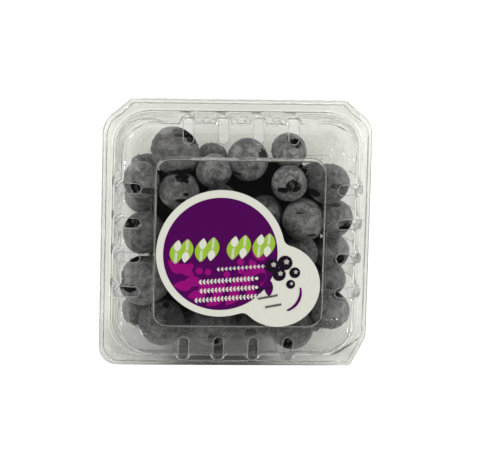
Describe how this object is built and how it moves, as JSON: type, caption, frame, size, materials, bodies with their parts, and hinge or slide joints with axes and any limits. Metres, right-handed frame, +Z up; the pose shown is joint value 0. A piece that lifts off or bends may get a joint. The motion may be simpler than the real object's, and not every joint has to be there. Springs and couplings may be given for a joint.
{
  "type": "punnet of blueberries",
  "caption": "Clear square clamshell punnet with fluted walls, vent slots and a raised lid panel with a two-lobed label, shut over a heap of blueberries; the lid swings on a hinge at the back.",
  "frame": {"origin": "under the middle of the tray, on the plane it stands on", "axes": "+X to the right as the label is read, +Y towards the hinge at the back, +Z up"},
  "size_m": [0.115, 0.116, 0.0426],
  "materials": {
    "clear_pet": "clear glossy thermoformed PET sheet",
    "label_print": "smooth printed self-adhesive label, satin",
    "berry_skin": "dull waxy bloom over dark skin"
  },
  "bodies": {
    "tray": {"base_tray": "clear_pet", "berry_heap": "berry_skin"},
    "cover": {"lid": "clear_pet", "label": "label_print"}
  },
  "joints": [
    {"name": "lid_hinge", "type": "hinge", "parent": "tray", "child": "cover", "pos_m": [0, 0.058, 0.02], "axis": [-1, 0, 0], "range_deg": [0, 175]}
  ]
}
